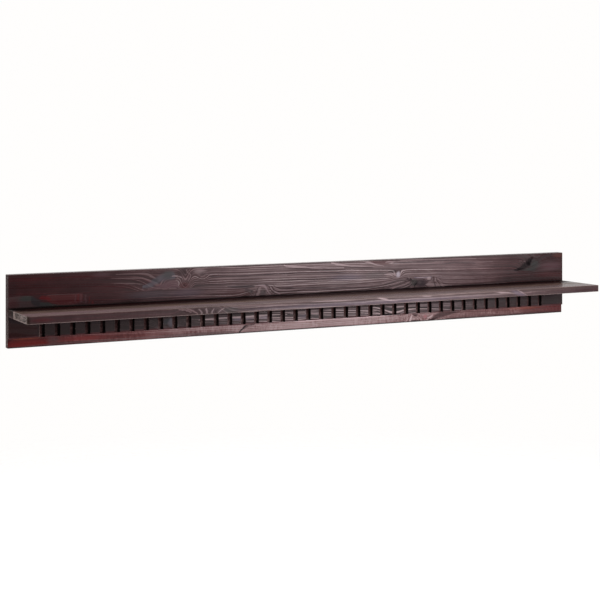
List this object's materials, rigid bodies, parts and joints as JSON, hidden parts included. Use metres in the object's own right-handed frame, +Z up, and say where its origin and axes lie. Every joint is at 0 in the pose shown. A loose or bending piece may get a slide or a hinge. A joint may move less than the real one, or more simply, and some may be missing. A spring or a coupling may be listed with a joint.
{
  "type": "wall shelf",
  "caption": "Long wall shelf of dark stained pine with a plank back panel, a narrow shelf board, a slotted dentil rail and a recessed base strip.",
  "frame": {"origin": "on the wall face, midway between the round holes of the two keyhole plates", "axes": "+X along the shelf to the right as seen from the room, +Y into the wall, +Z up"},
  "size_m": [1.78, 0.2, 0.19],
  "materials": {
    "panel_pine": "satin dark stain, brushed",
    "rail_pine": "satin dark stain, milled",
    "strip_pine": "satin red-brown stain, brushed",
    "shelf_pine": "satin dark stain, brushed",
    "dowel_beech": "raw, smooth",
    "hanger_steel": "zinc plated",
    "screw_steel": "zinc plated"
  },
  "bodies": {
    "root": {"back_upper_stave": "panel_pine", "back_lower_stave": "panel_pine", "dentil_rail": "rail_pine", "base_strip": "strip_pine", "shelf_rear_stave": "shelf_pine", "shelf_middle_stave": "shelf_pine", "shelf_front_stave": "shelf_pine", "shelf_dowels": "dowel_beech", "shelf_screws": "screw_steel", "left_hanger_plate": "hanger_steel", "right_hanger_plate": "hanger_steel", "hanger_screws": "screw_steel"}
  },
  "joints": []
}
